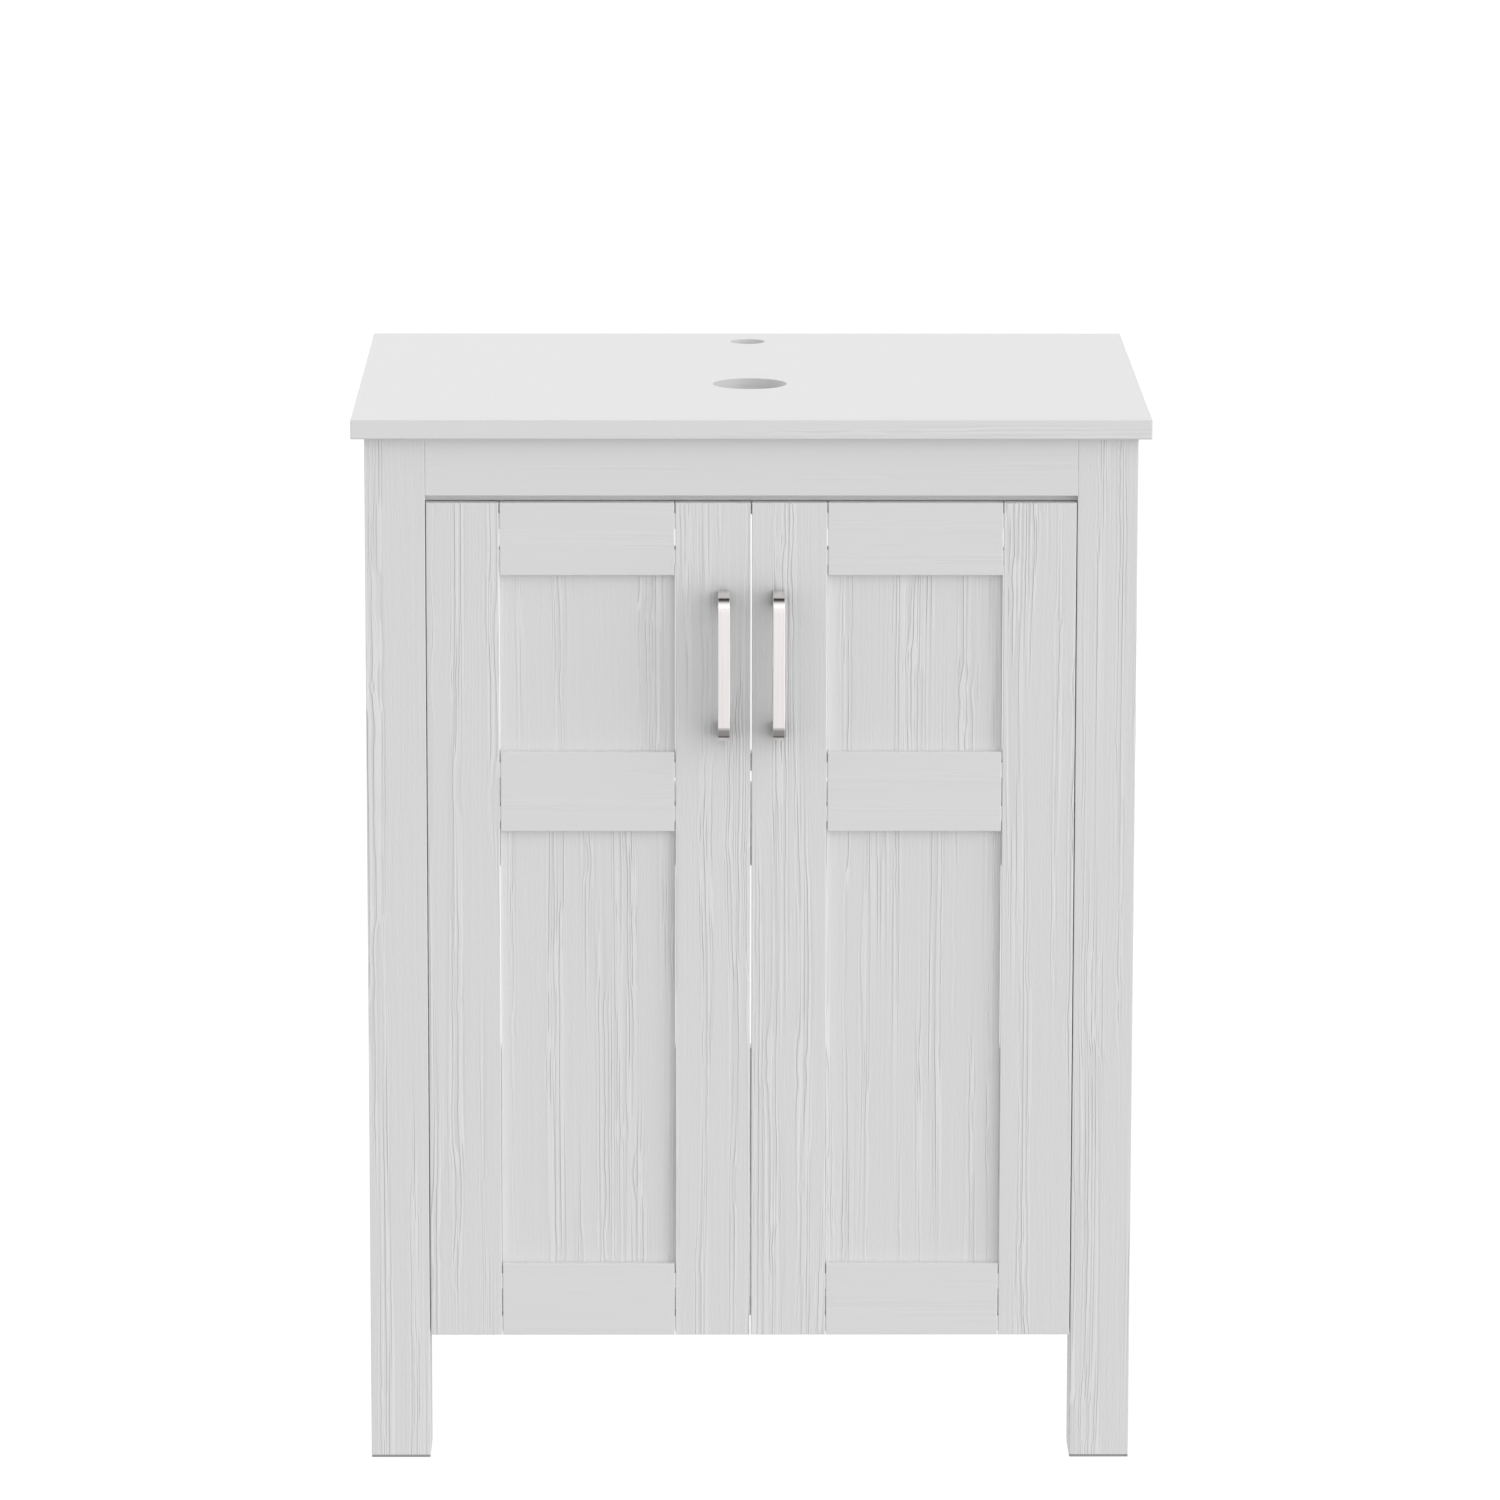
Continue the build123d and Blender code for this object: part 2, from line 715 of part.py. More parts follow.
# Each side has the fixed half of its hinges and a door
for side, sign in sides.items():
    # Hinge plates on the post
    with BuildPart() as plates:
        with BuildSketch(cross_plane(sign * leg_inner)):
            with Locations(*[(front_y + plate_screw_back, height) for height in hinge_heights]):
                Rectangle(plate_back - board_setback, plate_height)
        extrude(amount=-sign * plate_thickness)
        for plane in plate_screw_planes(sign):
            screw_hole(plane, plate_screw)
        for plane in arm_screw_planes(sign):
            screw_hole(plane, arm_screw)
    save(f"{side}_hinge_plates", plates)

    # Hinge arms: from the plate round the edge of the cup to an eye on the pivot
    with BuildPart() as arms:
        for height in hinge_heights:
            with BuildSketch(hinge_plan(sign, height)):
                with BuildLine():
                    FilletPolyline(
                        (pivot_inboard, pivot_back),
                        (knee_inboard, pivot_back),
                        (knee_inboard, strip_back),
                        (plate_face + arm_thickness / 2, strip_back),
                        (plate_face + arm_thickness / 2, plate_back),
                        radius=arm_bend,
                    )
                trace(line_width=arm_thickness)
                with Locations((pivot_inboard, pivot_back)):
                    Circle(eye_radius)
                    Circle(pivot_radius + running_clearance, mode=Mode.SUBTRACT)
            extrude(amount=arm_height / 2, both=True)
        for plane in arm_screw_planes(sign):
            screw_hole(plane, arm_screw)
    save(f"{side}_hinge_arms", arms)

    # Hinge cups let into the door, each with two ears that hold the pivot pin
    cup_x = sign * (door_outer - cup_inboard)
    with BuildPart() as cups:
        for height in hinge_heights:
            with BuildSketch(door_back_plane):
                with Locations((cup_x, height)):
                    Circle(flange_radius)
                with Locations((cup_x - sign * cup_screw_inboard, height)):
                    Rectangle(wing_width, wing_height)
            extrude(amount=-flange_thickness)
            with BuildSketch(door_back_plane):
                with Locations((cup_x, height)):
                    Circle(cup_radius)
            extrude(amount=cup_depth)
            with BuildSketch(depth_plane(flange_back)):
                with Locations((cup_x, height)):
                    Circle(cup_radius - cup_wall)
            extrude(amount=flange_thickness + cup_depth - cup_wall, mode=Mode.SUBTRACT)
            ear_top = pivot_back + ear_rise
            for reach, mode in ((ear_outside, Mode.ADD), (ear_inside, Mode.SUBTRACT)):
                with BuildSketch(hinge_plan(sign, height)):
                    with Locations((pivot_inboard, (cup_floor_back + ear_top) / 2)):
                        Rectangle(ear_width, ear_top - cup_floor_back)
                extrude(amount=reach, both=True, mode=mode)
            pivot = [(pivot_inboard, pivot_back)]
            peg(hinge_plan(sign, height), pivot, pivot_radius, ear_outside, Mode.SUBTRACT)
        for plane in cup_screw_planes(sign):
            screw_hole(plane, cup_screw)
    save(f"{side}_hinge_cups", cups)

    with BuildPart() as pivots:
        for height in hinge_heights:
            peg(hinge_plan(sign, height), [(pivot_inboard, pivot_back)], pivot_radius, ear_outside)
    save(f"{side}_hinge_pins", pivots)

    with BuildPart() as cup_screws:
        for plane in cup_screw_planes(sign):
            fastener(plane, cup_screw)
    save(f"{side}_cup_screws", cup_screws)

    # Stiles run the full height of the door
    hinge_joint = cross_plane(sign * (hinge_stile_inner - joint_gap / 2))
    meeting_joint = cross_plane(sign * (meeting_stile_outer + joint_gap / 2))
    with BuildPart() as hinge_stile:
        with BuildSketch(front_plane):
            with Locations((sign * (door_outer - hinge_stile_width / 2), door_mid_z)):
                Rectangle(hinge_stile_width, door_height)
        extrude(amount=-door_thickness)
        ease_front(hinge_stile)
        undercut_side(sign * hinge_stile_inner, sign)
        with BuildSketch(door_back_plane):
            with Locations(*[(cup_x, height) for height in hinge_heights]):
                Circle(cup_radius + dowel_clearance)
        extrude(amount=cup_depth, mode=Mode.SUBTRACT)
        dowel_holes(hinge_joint, rail_dowels)
        for plane in cup_screw_planes(sign):
            screw_hole(plane, cup_screw)
    save(f"{side}_hinge_stile", hinge_stile)

    with BuildPart() as meeting_stile:
        with BuildSketch(front_plane):
            with Locations((sign * (door_inner + meeting_stile_width / 2), door_mid_z)):
                Rectangle(meeting_stile_width, door_height)
        extrude(amount=-door_thickness)
        ease_front(meeting_stile)
        undercut_side(sign * meeting_stile_outer, -sign)
        undercut_side(sign * door_inner, sign)
        dowel_holes(meeting_joint, rail_dowels)
        screw_hole(strike_screw_plane(sign), strike_screw)
        for plane in handle_screw_planes(sign):
            screw_hole(plane, handle_screw)
    save(f"{side}_meeting_stile", meeting_stile)

    # Rails between the stiles, which they touch round the dowels, grooved where they hold the panels
    for name, (low, high) in rail_bands.items():
        with BuildPart() as rail:
            with BuildSketch(front_plane):
                with Locations((sign * infill_mid_x, (low + high) / 2)):
                    Rectangle(infill_width, high - low)
            extrude(amount=-door_thickness)
            ease_front(rail)
            undercut_side(sign * (hinge_stile_inner - joint_gap), -sign)
            undercut_side(sign * (meeting_stile_outer + joint_gap), sign)
            with BuildSketch(depth_plane(front_y + edge_round)):
                with Locations(*[(sign * infill_mid_x, z) for z in rail_dowel_heights[name]]):
                    Rectangle(infill_width + 2 * joint_gap, shoulder_height)
            extrude(amount=edge_round - door_thickness)
            for panel_low, panel_high in panel_bands.values():
                groove_y = front_y + panel_recess + panel_thickness / 2
                with BuildSketch(depth_plane(groove_y)):
                    with Locations((sign * infill_mid_x, (panel_low + panel_high) / 2)):
                        Rectangle(2 * infill_width, panel_high - panel_low + 2 * groove_depth)
                groove_half = panel_thickness / 2 + panel_side_clearance
                extrude(amount=groove_half, both=True, mode=Mode.SUBTRACT)
            dowel_holes(hinge_joint, rail_dowels)
            dowel_holes(meeting_joint, rail_dowels)
        save(f"{side}_{name}_rail", rail)

    # Flat panels, held by the rails' grooves
    for name, (low, high) in panel_bands.items():
        with BuildPart() as panel:
            with BuildSketch(depth_plane(front_y + panel_recess)):
                with Locations((sign * infill_mid_x, (low + high) / 2)):
                    held = groove_depth - panel_end_clearance
                    Rectangle(panel_width, high - low + 2 * held)
            extrude(amount=-panel_thickness)
        save(f"{side}_{name}_panel", panel)

    with BuildPart() as door_dowels:
        dowels(hinge_joint, rail_dowels)
        dowels(meeting_joint, rail_dowels)
    save(f"{side}_door_dowels", door_dowels)

    # Bow handle: a square bar with rounded bends, on two feet
    handle_x = sign * handle_from_centre
    finger_depth = handle_reach - handle_bar_thickness
    finger_height = 2 * handle_hole_spacing - handle_length
    with BuildPart() as handle:
        with BuildSketch(cross_plane(handle_x)) as bow:
            with Locations((front_y - handle_reach / 2, handle_mid_z)):
                Rectangle(handle_reach, handle_length)
            fillet(bow.vertices().group_by(Axis.X)[0], handle_corner)
        extrude(amount=handle_width / 2, both=True)
        with BuildSketch(cross_plane(handle_x)) as finger_gap:
            with Locations((front_y - finger_depth / 2, handle_mid_z)):
                Rectangle(finger_depth, finger_height)
            fillet(finger_gap.vertices().group_by(Axis.X)[0], handle_inner_corner)
        extrude(amount=handle_width, both=True, mode=Mode.SUBTRACT)
        flanks = handle.faces().filter_by(Axis.X).edges()
        seat = handle.faces().sort_by(Axis.Y)[-1].center().Y
        fillet(flanks.filter_by(lambda edge: edge.center().Y < seat - handle_edge_round), handle_edge_round)
        for plane in handle_screw_planes(sign):
            screw_hole(plane, handle_screw)
    save(f"{side}_handle", handle)

    with BuildPart() as handle_screws:
        for plane in handle_screw_planes(sign):
            fastener(plane, handle_screw)
    save(f"{side}_handle_screws", handle_screws)

    # Strike plate for the catch
    with BuildPart() as strike:
        with BuildSketch(door_back_plane):
            with Locations((sign * catch_from_centre, catch_mid_z)):
                Rectangle(strike_width, strike_height)
        extrude(amount=-strike_thickness)
        screw_hole(strike_screw_plane(sign), strike_screw)
    save(f"{side}_strike_plate", strike)

    with BuildPart() as strike_fixing:
        fastener(strike_screw_plane(sign), strike_screw)
    save(f"{side}_strike_screw", strike_fixing)
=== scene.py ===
import json
import math

import bpy
from mathutils import Matrix, Vector

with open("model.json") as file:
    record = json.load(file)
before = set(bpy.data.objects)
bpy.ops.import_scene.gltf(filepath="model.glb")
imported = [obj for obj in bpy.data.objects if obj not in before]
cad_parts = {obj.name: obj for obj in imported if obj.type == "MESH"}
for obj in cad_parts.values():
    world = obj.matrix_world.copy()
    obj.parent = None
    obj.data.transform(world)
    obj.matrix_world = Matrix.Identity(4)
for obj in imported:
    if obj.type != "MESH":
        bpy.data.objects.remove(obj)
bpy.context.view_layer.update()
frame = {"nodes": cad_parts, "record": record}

millimetre = 0.001

# Camera, at the height and turn of the photograph
camera_place = (-0.0494, -6.2828, 1.7331)
camera_pitch = math.radians(10.932)
camera_yaw = math.radians(0.459)
camera_roll = math.radians(0.084)
camera_lens = 193.25
camera_sensor = 36.0
camera_reach = 200.0

# Tones of the finishes, as linear colours
# Foil grain tones: partly the grain's own tone, with painted shade in the grooves and a painted highlight on
# the ridges
foil_groove_grain_and_painted_shade = (0.760, 0.760, 0.758)
foil_flat = (0.790, 0.790, 0.789)
foil_ridge_grain_and_painted_highlight = (0.860, 0.860, 0.860)
# Across-grain foil tones: partly the grain's own tone, with fainter painted shade in the grooves and painted
# highlight on the ridges
level_groove_grain_and_painted_shade = (0.780, 0.780, 0.779)
level_flat = (0.798, 0.798, 0.797)
level_ridge_grain_and_painted_highlight = (0.816, 0.816, 0.816)
laminate_white = (0.780, 0.780, 0.780)
laminate_shade = (0.768, 0.768, 0.767)
# Edge band tones: partly the grain's own tone, with painted shade in the grooves and a painted highlight on
# the ridges
band_ridge_grain_and_painted_highlight = (0.830, 0.830, 0.830)
band_groove_grain_and_painted_shade = (0.770, 0.770, 0.769)
cut_light = (0.800, 0.800, 0.797)
cut_dark = (0.765, 0.765, 0.762)
board_white = (0.890, 0.890, 0.887)
board_shade = (0.870, 0.870, 0.866)
nickel_light = (0.860, 0.810, 0.810)
nickel_dark = (0.800, 0.750, 0.750)
hinge_light = (0.66, 0.66, 0.67)
hinge_dark = (0.58, 0.58, 0.59)
zinc_light = (0.62, 0.63, 0.65)
zinc_dark = (0.50, 0.51, 0.53)
plastic_light = (0.72, 0.72, 0.70)
plastic_dark = (0.67, 0.67, 0.65)
magnet_light = (0.060, 0.060, 0.064)
magnet_dark = (0.030, 0.030, 0.032)
glide_light = (0.38, 0.38, 0.39)
glide_dark = (0.31, 0.31, 0.32)
beech_light = (0.62, 0.43, 0.25)
beech_dark = (0.47, 0.30, 0.16)

# Roughness of the finishes, from one end of their marks to the other
foil_rough = (0.60, 0.50)
laminate_rough = (0.36, 0.44)
board_rough = (0.42, 0.55)
nickel_rough = (0.07, 0.11)
hinge_rough = (0.20, 0.32)
zinc_rough = (0.26, 0.38)
magnet_rough = (0.45, 0.60)
plastic_rough = (0.42, 0.54)
glide_rough = (0.55, 0.67)
beech_rough = (0.60, 0.72)

# Shine of the painted finishes
foil_shine = 0.35
laminate_shine = 0.4
board_shine = 0.4

# Marks in the finishes: how wide, how long and how deep
laminate_speck = (1.1 * millimetre, 1.1 * millimetre)
laminate_speck_share = 0.05
board_pebble = (0.8 * millimetre, 0.8 * millimetre)
board_pebble_depth = 0.03 * millimetre
brushing = (0.35 * millimetre, 60.0 * millimetre)
brushing_depth = 0.002 * millimetre
hinge_mottle = (0.6 * millimetre, 0.6 * millimetre)
hinge_mottle_depth = 0.004 * millimetre
zinc_mottle = (0.35 * millimetre, 0.35 * millimetre)
zinc_mottle_depth = 0.004 * millimetre
magnet_grit = (0.35 * millimetre, 0.35 * millimetre)
magnet_grit_depth = 0.006 * millimetre
plastic_skin = (0.5 * millimetre, 0.5 * millimetre)
plastic_skin_depth = 0.02 * millimetre
beech_fleck = (0.5 * millimetre, 4.0 * millimetre)
beech_fleck_depth = 0.04 * millimetre

# Spans of cloudy noise: most of it, the flecks, the lines, their bundles, and the places where lines kink
most_noise = (0.3, 0.7)
fleck_noise = (0.35, 0.7)
line_noise = (0.38, 0.62)
bundle_noise = (0.50, 0.60)
kink_noise = (0.45, 0.70)

# Grain pressed into the foil: streaks this wide and long, then what each adds to the height
drift_streak = (70.0 * millimetre, 350.0 * millimetre)
kink_streak = (16.0 * millimetre, 30.0 * millimetre)
kinked_patch = (26.0 * millimetre, 80.0 * millimetre)
line_streak = (1.7 * millimetre, 300.0 * millimetre)
bundle_streak = (13.0 * millimetre, 600.0 * millimetre)
strength_streak = (6.0 * millimetre, 120.0 * millimetre)
fibre_streak = (1.3 * millimetre, 7.0 * millimetre)
grain_drift = 10.0 * millimetre
grain_kink = 3.0 * millimetre
kink_share = (0.25, 1.0)
line_height = (-0.40, 0.40)
bundle_share = (0.10, 1.0)
strength_share = (0.45, 1.0)
fibre_height = (-0.06, 0.06)
flat_height = 0.5
grain_depth = 0.70 * millimetre
level_grain_depth = 0.10 * millimetre
band_grain_depth = 0.25 * millimetre
foil_start = Vector((0.41, 0.29, 0.83))

# Top: where its face turns into an edge, and how far from a hole the cut board ends
edge_slope = (0.3, 0.6)
cut_margin = (0.5 * millimetre, 1.5 * millimetre)

# Floor
floor_size = 120.0
floor_tone = (0.12, 0.12, 0.12)
floor_glow = 0.95

# Light of the studio: tones from straight below to straight above, all round and in the strip over the lens
white = (1.0, 1.0, 1.0)
sky_tones = ((0.0, 0.46), (0.30, 0.50), (0.38, 0.93), (0.70, 0.97), (0.85, 1.02), (1.0, 1.02))
lens_strip_tones = (
    (0.0, 0.05), (0.008, 0.17), (0.012, 0.29), (0.22, 0.33), (0.281, 0.48), (0.342, 0.68),
    (0.392, 0.86), (0.418, 1.08), (0.440, 1.14), (0.535, 1.08), (0.671, 1.22), (0.772, 1.34),
    (0.854, 1.18), (0.915, 0.90), (0.949, 0.48), (0.976, 0.20), (0.992, 0.06), (1.0, 0.05),
)
lens_strip_side = (0.10, 0.25)
sky_middle = 0.79
sky_lean = 0.72
sky_sides = 0.74
sky_rear = 1.0
sky_rear_lean = -0.7
sky_turn = (-0.1, 0.3)
diffuse_bounces = 10
all_bounces = 14


def colour(tone):
    """A tone with its opacity, as colour sockets take it."""
    return (*tone, 1.0)


def add(tree, kind, inputs, **settings):
    """A new node. Each input is given a value or joined to another node's output."""
    new = tree.nodes.new(kind)
    for name, value in settings.items():
        setattr(new, name, value)
    for socket, value in inputs.items():
        if isinstance(value, bpy.types.NodeSocket):
            tree.links.new(value, new.inputs[socket])
        else:
            new.inputs[socket].default_value = value
    return new


def sums(tree, operation, first, second):
    """The result of one sum on two numbers."""
    return add(tree, "ShaderNodeMath", {0: first, 1: second}, operation=operation).outputs[0]


def size_of(tree, value):
    """A number without its sign."""
    return add(tree, "ShaderNodeMath", {0: value}, operation="ABSOLUTE").outputs[0]


def between(tree, value, low, high, least=0.0, most=1.0):
    """value from low to high, eased into the span from least to most."""
    inputs = {"Value": value, "From Min": low, "From Max": high, "To Min": least, "To Max": most}
    return add(tree, "ShaderNodeMapRange", inputs, interpolation_type="SMOOTHSTEP").outputs["Result"]


def blend(tree, share, first, second, halfway=None):
    """A colour from first to second, by share, through a third one halfway."""
    ramp = add(tree, "ShaderNodeValToRGB", {"Fac": share})
    ramp.color_ramp.elements[0].color = colour(first)
    ramp.color_ramp.elements[1].color = colour(second)
    if halfway:
        ramp.color_ramp.elements.new(flat_height).color = colour(halfway)
    return ramp.outputs["Color"]


def mix(tree, share, first, second):
    """The first colour where share is 0 and the second where it is 1."""
    mixed = add(tree, "ShaderNodeMix", {0: share, 6: first, 7: second}, data_type="RGBA")
    return mixed.outputs[2]


def place_on(tree, shift=(0.0, 0.0, 0.0), across=False):
    """Place on a piece in metres, with z along its grain, from the piece's own start on the sheet."""
    place = add(tree, "ShaderNodeTexCoord", {}).outputs["Object"]
    turn = (0.0, math.radians(90) if across else 0.0, 0.0)
    inputs = {"Vector": place, "Location": shift, "Rotation": turn}
    return add(tree, "ShaderNodeMapping", inputs).outputs["Vector"]


def streaks(tree, place, width, length, detail=1.0):
    """Cloudy streaks about so wide, drawn out along the grain to about that length."""
    drawn = add(tree, "ShaderNodeMapping", {"Vector": place, "Scale": (1 / width, 1 / width, 1 / length)})
    inputs = {"Vector": drawn.outputs["Vector"], "Scale": 1.0, "Detail": detail, "Roughness": 0.5}
    return add(tree, "ShaderNodeTexNoise", inputs).outputs["Fac"]


def bump(tree, height, depth):
    """The surface raised by height, a share of depth."""
    inputs = {"Height": height, "Distance": depth, "Strength": 1.0}
    return add(tree, "ShaderNodeBump", inputs).outputs["Normal"]


def new_finish(name):
    """A new material's nodes, its bare shader and the material."""
    material = bpy.data.materials.new(name)
    material.use_nodes = True
    return material.node_tree, material.node_tree.nodes["Principled BSDF"], material


def join(tree, shader, **outputs):
    """Outputs joined to the shader's sockets of those names."""
    for socket, output in outputs.items():
        tree.links.new(output, shader.inputs[socket.replace("_", " ")])


def pressed_grain(tree, place):
    """Height of the pressed wood grain: bundles of straight lines that kink here and there on flat foil."""
    drift = sums(tree, "MULTIPLY", streaks(tree, place, *drift_streak), grain_drift)
    kink = sums(tree, "MULTIPLY", streaks(tree, place, *kink_streak), grain_kink)
    kinked = between(tree, streaks(tree, place, *kinked_patch), *kink_noise, *kink_share)
    aside = sums(tree, "ADD", drift, sums(tree, "MULTIPLY", kink, kinked))
    sideways = add(tree, "ShaderNodeCombineXYZ", {"X": aside, "Y": aside}).outputs["Vector"]
    bent = add(tree, "ShaderNodeVectorMath", {0: place, 1: sideways}, operation="ADD").outputs["Vector"]
    line = between(tree, streaks(tree, bent, *line_streak, detail=0.0), *line_noise, *line_height)
    bundle = between(tree, streaks(tree, bent, *bundle_streak), *bundle_noise, *bundle_share)
    strength = between(tree, streaks(tree, bent, *strength_streak), *most_noise, *strength_share)
    fibre = between(tree, streaks(tree, bent, *fibre_streak), 0.0, 1.0, *fibre_height)
    lines = sums(tree, "MULTIPLY", sums(tree, "MULTIPLY", line, bundle), strength)
    return sums(tree, "ADD", sums(tree, "ADD", fibre, lines), flat_height)


def foil(name, shift, across=False):
    """White foil, pressed with wood grain along the piece; its colour follows the grain's height, darker in
    the grooves as painted shade and lighter on the ridges as painted highlight.
    """
    tree, shader, material = new_finish(name)
    height = pressed_grain(tree, place_on(tree, shift, across))
    # The grain's height colours the foil: painted shade in its grooves, painted highlight on its ridges
    tones = (level_groove_grain_and_painted_shade, level_ridge_grain_and_painted_highlight, level_flat) if across else (foil_groove_grain_and_painted_shade, foil_ridge_grain_and_painted_highlight, foil_flat)
    shader.inputs["Specular IOR Level"].default_value = foil_shine
    join(
        tree, shader,
        Base_Color=blend(tree, height, *tones),
        Roughness=between(tree, height, 0.0, 1.0, *foil_rough),
        Normal=bump(tree, height, level_grain_depth if across else grain_depth),
    )
    return material


def inside_holes(tree, place):
    """1 inside the drain hole and the faucet hole of the top, and 0 elsewhere."""
    in_plan = add(tree, "ShaderNodeVectorMath", {0: place, 1: (1, 1, 0)}, operation="MULTIPLY")
    near, far = cut_margin
    inside = []
    for mount in frame["record"]["mounts"]:
        if mount["kind"] == "bore":
            x, y, _ = mount["pos_m"]
            radius = mount["dims"]["r_mm"] * millimetre
            inputs = {0: in_plan.outputs["Vector"], 1: (x, y, 0.0)}
            away = add(tree, "ShaderNodeVectorMath", inputs, operation="DISTANCE").outputs["Value"]
            inside.append(between(tree, away, radius + near, radius + far, 1.0, 0.0))
    return sums(tree, "MAXIMUM", *inside)


def laminate():
    """Smooth white laminate, with a grained band on the top's edges and bare cut board inside its holes. The
    band's colour is darker in its grooves as painted shade and lighter on its ridges as painted highlight.
    """
    tree, shader, material = new_finish("top_laminate")
    place = place_on(tree, across=True)
    grain = pressed_grain(tree, place)
    on_top = add(tree, "ShaderNodeTexCoord", {})
    upward = add(tree, "ShaderNodeSeparateXYZ", {"Vector": on_top.outputs["Normal"]}).outputs["Z"]
    edge = between(tree, size_of(tree, upward), *edge_slope, 1.0, 0.0)
    speck = streaks(tree, place, *laminate_speck, detail=3.0)
    # The band's colour follows its grain: painted shade in the grooves, painted highlight on the ridges
    band = blend(tree, grain, band_groove_grain_and_painted_shade, band_ridge_grain_and_painted_highlight)
    bare = blend(tree, speck, cut_light, cut_dark)
    upright = mix(tree, inside_holes(tree, on_top.outputs["Object"]), band, bare)
    level = blend(tree, speck, laminate_white, laminate_shade)
    band_height = sums(tree, "MULTIPLY", grain, edge)
    height = sums(tree, "ADD", band_height, sums(tree, "MULTIPLY", speck, laminate_speck_share))
    shader.inputs["Specular IOR Level"].default_value = laminate_shine
    join(
        tree, shader,
        Base_Color=mix(tree, edge, level, upright),
        Roughness=between(tree, speck, *most_noise, *laminate_rough),
        Normal=bump(tree, height, band_grain_depth),
    )
    return material


def board():
    """Plain white faced board, with the fine pebble of its pressed face."""
    tree, shader, material = new_finish("white_board")
    pebble = streaks(tree, place_on(tree), *board_pebble, detail=3.0)
    shader.inputs["Specular IOR Level"].default_value = board_shine
    join(
        tree, shader,
        Base_Color=blend(tree, pebble, board_white, board_shade),
        Roughness=between(tree, pebble, *most_noise, *board_rough),
        Normal=bump(tree, pebble, board_pebble_depth),
    )
    return material


def plated(name, light, dark, rough, marks, depth):
    """Metal with fine brushed or mottled marks in its plating."""
    tree, shader, material = new_finish(name)
    worn = streaks(tree, place_on(tree), *marks, detail=3.0)
    shader.inputs["Metallic"].default_value = 1.0
    join(
        tree, shader,
        Base_Color=blend(tree, between(tree, worn, *most_noise), light, dark),
        Roughness=between(tree, worn, *most_noise, *rough),
        Normal=bump(tree, worn, depth),
    )
    return material


def satin_nickel():
    """Satin nickel of the handles, brushed along their bars."""
    return plated("satin_nickel", nickel_light, nickel_dark, nickel_rough, brushing, brushing_depth)


def hinge_steel():
    """Nickel plated pressed steel of hinges, brackets, pins and strikes."""
    return plated("hinge_steel", hinge_light, hinge_dark, hinge_rough, hinge_mottle, hinge_mottle_depth)


def screw_steel():
    """Bright zinc plate of the screws and hinge pins."""
    return plated("screw_steel", zinc_light, zinc_dark, zinc_rough, zinc_mottle, zinc_mottle_depth)


def magnet():
    """Dark sintered magnet, with a gritty face."""
    return plated("magnet", magnet_light, magnet_dark, magnet_rough, magnet_grit, magnet_grit_depth)


def moulded(name, light, dark, rough):
    """Moulded plastic with a fine spark-eroded skin."""
    tree, shader, material = new_finish(name)
    skin = streaks(tree, place_on(tree), *plastic_skin, detail=2.0)
    join(
        tree, shader,
        Base_Color=blend(tree, between(tree, skin, *most_noise), light, dark),
        Roughness=between(tree, skin, *most_noise, *rough),
        Normal=bump(tree, skin, plastic_skin_depth),
    )
    return material


def catch_plastic():
    """White plastic of the catches."""
    return moulded("catch_plastic", plastic_light, plastic_dark, plastic_rough)


def foot_plastic():
    """Grey plastic of the foot pads."""
    return moulded("foot_plastic", glide_light, glide_dark, glide_rough)


def dowel_wood():
    """Bare beech, with its short dark flecks."""
    tree, shader, material = new_finish("dowel_wood")
    fleck = streaks(tree, place_on(tree, across=True), *beech_fleck, detail=2.0)
    join(
        tree, shader,
        Base_Color=blend(tree, between(tree, fleck, *fleck_noise), beech_light, beech_dark),
        Roughness=between(tree, fleck, *most_noise, *beech_rough),
        Normal=bump(tree, fleck, beech_fleck_depth),
    )
    return material


def dress():
    """Every piece gets its finish. Each piece of foil is cut from its own place on the sheet."""
    shared = {
        "top_laminate": laminate(),
        "white_board": board(),
        "satin_nickel": satin_nickel(),
        "hinge_steel": hinge_steel(),
        "screw_steel": screw_steel(),
        "catch_plastic": catch_plastic(),
        "magnet": magnet(),
        "foot_plastic": foot_plastic(),
        "dowel_wood": dowel_wood(),
    }
    for count, piece in enumerate(frame["record"]["subparts"], start=1):
        slot = piece["material_slot"]
        finish = shared.get(slot)
        if finish is None:
            across = slot == "white_foil_across"
            finish = foil(f"{slot}_{piece['node']}", count * foil_start, across)
        frame["nodes"][piece["node"]].material_slots[0].material = finish


def white_floor():
    """A plain pale floor, lit so evenly that only a trace of shade is left under the cabinet."""
    bpy.ops.object.select_all(action="DESELECT")
    bpy.ops.mesh.primitive_plane_add(size=floor_size, location=(0.0, 0.0, 0.0))
    floor = bpy.context.active_object
    floor.name = "floor"
    tree, shader, material = new_finish("pale_floor")
    shader.inputs["Base Color"].default_value = colour(floor_tone)
    shader.inputs["Roughness"].default_value = 1.0
    shader.inputs["Specular IOR Level"].default_value = 0.0
    shader.inputs["Emission Color"].default_value = colour(white)
    shader.inputs["Emission Strength"].default_value = floor_glow
    floor.data.materials.append(material)
    floor.visible_diffuse = False
    floor.visible_glossy = False
    floor.visible_shadow = False


def tone_ramp(tree, share, stops):
    """A grey that runs through the stops, each a place on share and its tone."""
    ramp = add(tree, "ShaderNodeValToRGB", {"Fac": share})
    elements = ramp.color_ramp.elements
    elements[0].position, elements[0].color = stops[0][0], colour([stops[0][1]] * 3)
    elements[1].position, elements[1].color = stops[-1][0], colour([stops[-1][1]] * 3)
    for position, tone in stops[1:-1]:
        elements.new(position).color = colour([tone] * 3)
    return ramp.outputs["Color"]


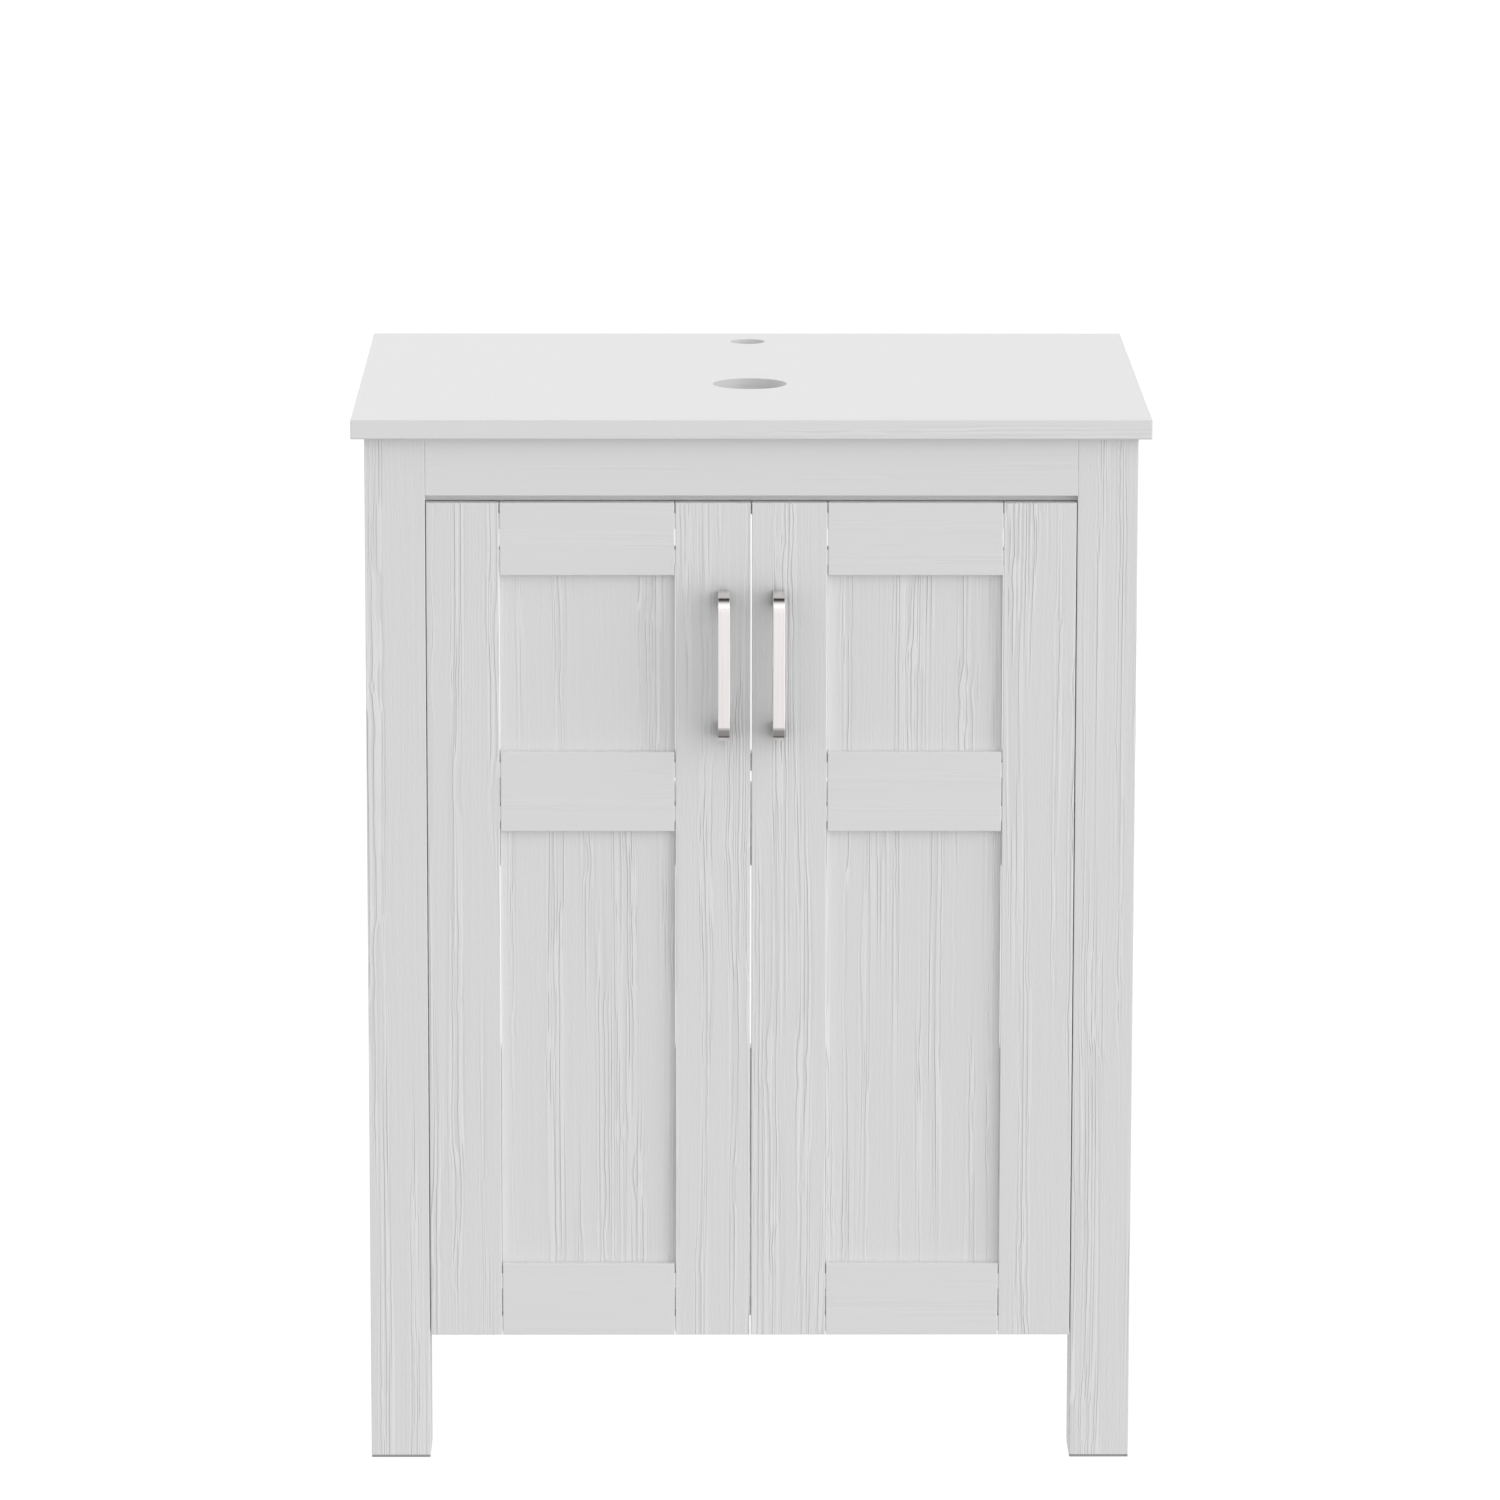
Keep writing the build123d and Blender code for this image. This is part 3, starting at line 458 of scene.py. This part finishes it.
def soft_sky():
    """Light from all round: most from the right, least from the floor, with a shaped strip over the lens."""
    world = bpy.data.worlds.new("studio")
    bpy.context.scene.world = world
    world.use_nodes = True
    tree = world.node_tree
    way = add(tree, "ShaderNodeTexCoord", {}).outputs["Generated"]
    turned = add(tree, "ShaderNodeSeparateXYZ", {"Vector": way})
    sideways, back, height = turned.outputs["X"], turned.outputs["Y"], turned.outputs["Z"]
    inputs = {"Value": height, "From Min": -1.0, "From Max": 1.0}
    share = add(tree, "ShaderNodeMapRange", inputs).outputs["Result"]
    leaning = sums(tree, "ADD", sums(tree, "MULTIPLY", sideways, sky_sides), sky_lean)
    before = sums(tree, "ADD", sums(tree, "MULTIPLY", sideways, leaning), sky_middle)
    behind = sums(tree, "ADD", sums(tree, "MULTIPLY", sideways, sky_rear_lean), sky_rear)
    inputs = {"Factor": between(tree, back, *sky_turn), "A": before, "B": behind}
    spread = add(tree, "ShaderNodeMix", inputs).outputs["Result"]
    round_about = sums(tree, "MULTIPLY", tone_ramp(tree, share, sky_tones), spread)
    over_lens = tone_ramp(tree, share, lens_strip_tones)
    ahead = between(tree, size_of(tree, sideways), *lens_strip_side, 1.0, 0.0)
    inputs = {"Factor": ahead, "A": round_about, "B": over_lens}
    strength = add(tree, "ShaderNodeMix", inputs).outputs["Result"]
    tree.links.new(strength, tree.nodes["Background"].inputs["Strength"])
    tree.nodes["Background"].inputs["Color"].default_value = colour(white)


def photograph_camera():
    """The camera, turned by its pitch, yaw and roll."""
    ahead = Vector((
        math.sin(camera_yaw) * math.cos(camera_pitch),
        math.cos(camera_yaw) * math.cos(camera_pitch),
        -math.sin(camera_pitch),
    ))
    level_right = Vector((math.cos(camera_yaw), -math.sin(camera_yaw), 0.0))
    level_up = level_right.cross(ahead)
    right = math.cos(camera_roll) * level_right + math.sin(camera_roll) * level_up
    up = math.cos(camera_roll) * level_up - math.sin(camera_roll) * level_right
    lens = bpy.data.cameras.new("camera")
    lens.lens = camera_lens
    lens.sensor_width = camera_sensor
    lens.clip_end = camera_reach
    camera = bpy.data.objects.new("camera", lens)
    bpy.context.scene.collection.objects.link(camera)
    turn = Matrix((right, up, -ahead)).transposed().to_4x4()
    camera.matrix_world = Matrix.Translation(camera_place) @ turn
    bpy.context.scene.camera = camera


def even_light():
    """Enough bounces of light to fill the cabinet, and tones shown as they are."""
    scene = bpy.context.scene
    scene.cycles.diffuse_bounces = diffuse_bounces
    scene.cycles.max_bounces = all_bounces
    scene.cycles.caustics_reflective = False
    scene.view_settings.view_transform = "Standard"


photograph_camera()
dress()
white_floor()
soft_sky()
even_light()
